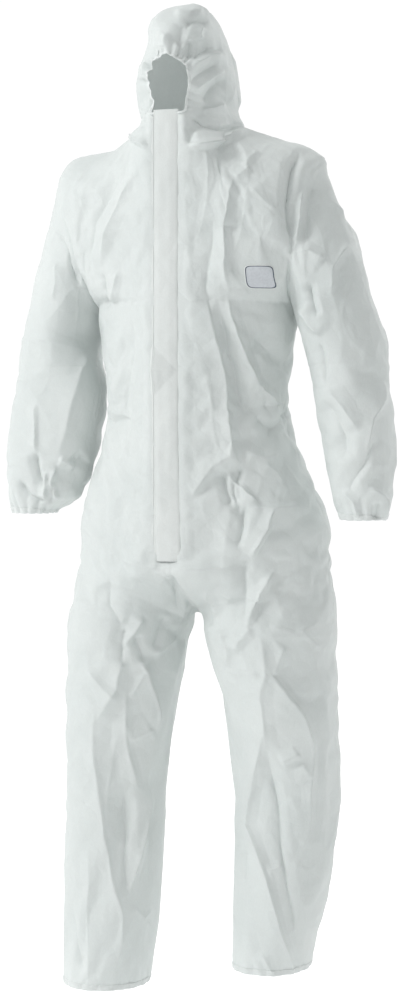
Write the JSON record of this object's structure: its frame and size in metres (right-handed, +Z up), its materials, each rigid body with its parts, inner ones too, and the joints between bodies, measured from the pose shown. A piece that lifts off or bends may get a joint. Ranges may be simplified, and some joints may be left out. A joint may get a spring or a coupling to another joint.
{
  "type": "chemical protective suit",
  "caption": "White hooded protective coverall in worn shape, zipped under a storm flap, with elastic face opening, cuffs, waist and ankles.",
  "frame": {"origin": "between the wearer's shoulders, where the suit rests on a wearer or a hanger", "axes": "+Z up along the suit's height, +X to the wearer's left, the front faces -Y"},
  "size_m": [0.7304, 0.2906, 1.7458],
  "materials": {
    "white_laminate": "matte non-woven laminate",
    "white_elastic": "matte covered elastic",
    "zip_tape": "woven polyester",
    "zip_coil": "satin nylon",
    "slider_enamel": "white enamel",
    "label_satin": "satin ribbon",
    "patch_print": "matte print",
    "adhesive_film": "satin release film"
  },
  "bodies": {
    "torso": {"chest_left_panel": "white_laminate", "chest_right_panel": "white_laminate", "upper_back_left_panel": "white_laminate", "upper_back_right_panel": "white_laminate", "lower_front_left_panel": "white_laminate", "lower_front_right_panel": "white_laminate", "lower_back_left_panel": "white_laminate", "lower_back_right_panel": "white_laminate", "crotch_gusset": "white_laminate", "waist_elastic": "white_elastic", "size_label": "label_satin", "chest_patch": "patch_print", "flap_seam_fold": "white_laminate", "zip_tape_left": "zip_tape", "zip_tape_right": "zip_tape", "zip_coil_left": "zip_coil", "zip_coil_right": "zip_coil", "zip_top_stops": "zip_coil", "zip_bottom_stop": "zip_coil"},
    "hood": {"hood_left_panel": "white_laminate", "hood_right_panel": "white_laminate", "hood_centre_panel": "white_laminate", "face_elastic": "white_elastic"},
    "slider": {"zip_slider": "slider_enamel"},
    "pull_tab": {"zip_pull_tab": "slider_enamel"},
    "flap": {"storm_flap": "white_laminate", "flap_adhesive_strip": "adhesive_film"},
    "left_upper_arm": {"upper_sleeve_left": "white_laminate"},
    "left_forearm": {"lower_sleeve_left": "white_laminate", "cuff_elastic_left": "white_elastic"},
    "left_thigh": {"upper_leg_left": "white_laminate"},
    "left_shin": {"lower_leg_left": "white_laminate", "ankle_elastic_left": "white_elastic"},
    "right_upper_arm": {"upper_sleeve_right": "white_laminate"},
    "right_forearm": {"lower_sleeve_right": "white_laminate", "cuff_elastic_right": "white_elastic"},
    "right_thigh": {"upper_leg_right": "white_laminate"},
    "right_shin": {"lower_leg_right": "white_laminate", "ankle_elastic_right": "white_elastic"}
  },
  "joints": [
    {"name": "hood_tip", "type": "hinge", "parent": "torso", "child": "hood", "pos_m": [0, 0.0755, 0.075], "axis": [-1, 0, 0], "range_deg": [0, 30]},
    {"name": "flap_open", "type": "hinge", "parent": "torso", "child": "flap", "pos_m": [-0.023, -0.174, 0], "axis": [0, 0, -1], "range_deg": [0, 150]},
    {"name": "zip_slide", "type": "slide", "parent": "torso", "child": "slider", "axis": [0, 0, -1], "range_m": [0, 0.725]},
    {"name": "tab_lift", "type": "hinge", "parent": "slider", "child": "pull_tab", "pos_m": [0, -0.1694, 0.079], "axis": [-1, 0, 0], "range_deg": [0, 75]},
    {"name": "left_shoulder", "type": "hinge", "parent": "torso", "child": "left_upper_arm", "pos_m": [0.2455, -0.025, 0.03], "axis": [0, -1, 0], "range_deg": [0, 75]},
    {"name": "left_elbow", "type": "hinge", "parent": "left_upper_arm", "child": "left_forearm", "pos_m": [0.281, -0.1005, -0.33], "axis": [-1, 0, 0], "range_deg": [0, 80]},
    {"name": "left_hip", "type": "hinge", "parent": "torso", "child": "left_thigh", "pos_m": [0.135, -0.1535, -0.8005], "axis": [-1, 0, 0], "range_deg": [0, 60]},
    {"name": "left_knee", "type": "hinge", "parent": "left_thigh", "child": "left_shin", "pos_m": [0.155, 0.1005, -1.105], "axis": [1, 0, 0], "range_deg": [0, 80]},
    {"name": "right_shoulder", "type": "hinge", "parent": "torso", "child": "right_upper_arm", "pos_m": [-0.2455, -0.025, 0.03], "axis": [0, 1, 0], "range_deg": [0, 75]},
    {"name": "right_elbow", "type": "hinge", "parent": "right_upper_arm", "child": "right_forearm", "pos_m": [-0.281, -0.1005, -0.33], "axis": [-1, 0, 0], "range_deg": [0, 80]},
    {"name": "right_hip", "type": "hinge", "parent": "torso", "child": "right_thigh", "pos_m": [-0.135, -0.1535, -0.8005], "axis": [-1, 0, 0], "range_deg": [0, 60]},
    {"name": "right_knee", "type": "hinge", "parent": "right_thigh", "child": "right_shin", "pos_m": [-0.155, 0.0565, -1.105], "axis": [1, 0, 0], "range_deg": [0, 80]}
  ],
  "couplings": [
    {"joint": "tab_lift", "follows": "flap_open", "ratio": 0.5}
  ]
}
